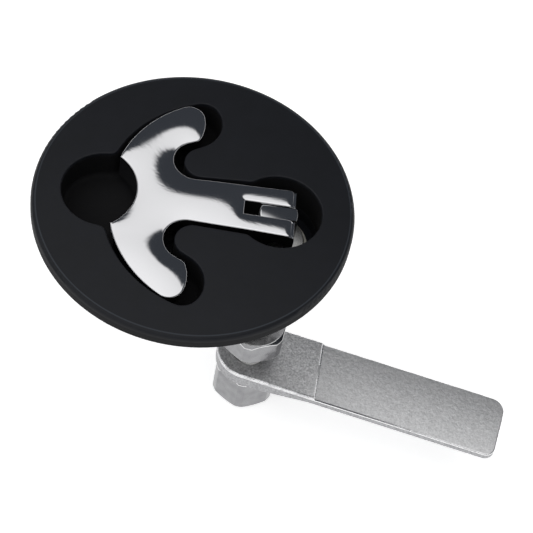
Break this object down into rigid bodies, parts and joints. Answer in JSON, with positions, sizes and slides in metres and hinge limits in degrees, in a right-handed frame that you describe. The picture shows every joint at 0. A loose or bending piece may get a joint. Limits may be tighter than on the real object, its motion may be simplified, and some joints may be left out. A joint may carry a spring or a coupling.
{
  "type": "flush pull latch",
  "caption": "Round flush pull latch with an anchor-shaped folding handle in a recessed housing, a shaft with two nuts and a flat cam arm.",
  "frame": {"origin": "centre of the flange's rear seat plane, on the axis of the round rear body", "axes": "+Z along the shaft, out of the front face; +X from the handle's head to its pivot; the arm points to +X and a little to -Y"},
  "size_m": [0.1348, 0.0806, 0.0888],
  "materials": {
    "black_housing": "matte, slightly bluish black",
    "black_rubber": "matte",
    "guide_plastic": "matte",
    "polished_steel": "mirror polished",
    "turned_steel": "turned",
    "nut_steel": "satin",
    "blasted_steel": "blasted casting"
  },
  "bodies": {
    "housing": {"housing": "black_housing", "flange_gasket": "black_rubber", "shaft_bush": "guide_plastic"},
    "turning_washer": {"thrust_washer": "turned_steel"},
    "shaft": {"shaft": "turned_steel", "upper_shaft_seal": "black_rubber", "lower_shaft_seal": "black_rubber", "stop_washer": "turned_steel", "retaining_ring": "turned_steel", "upper_nut": "nut_steel", "lower_nut": "nut_steel"},
    "handle": {"handle": "polished_steel", "handle_cross_pin": "turned_steel"},
    "arm": {"cam_arm": "blasted_steel"}
  },
  "joints": [
    {"name": "shaft_turn", "type": "hinge", "parent": "housing", "child": "turning_washer", "pos_m": [0.0212, 0, -0.0084], "axis": [0, 0, 1], "range_deg": [-0.5, 0.5]},
    {"name": "shaft_drop", "type": "slide", "parent": "turning_washer", "child": "shaft", "axis": [0, 0, -1], "range_m": [0, 0.00215]},
    {"name": "handle_lift", "type": "hinge", "parent": "shaft", "child": "handle", "pos_m": [0.0212, 0, -0.002], "axis": [0, 1, 0], "range_deg": [0, 90]},
    {"name": "arm_turn", "type": "hinge", "parent": "shaft", "child": "arm", "pos_m": [0.0212, 0, -0.0634], "axis": [0, 0, 1], "continuous": true}
  ],
  "couplings": [
    {"joint": "handle_lift", "follows": "shaft_drop", "rad_per_m": 730.6}
  ]
}
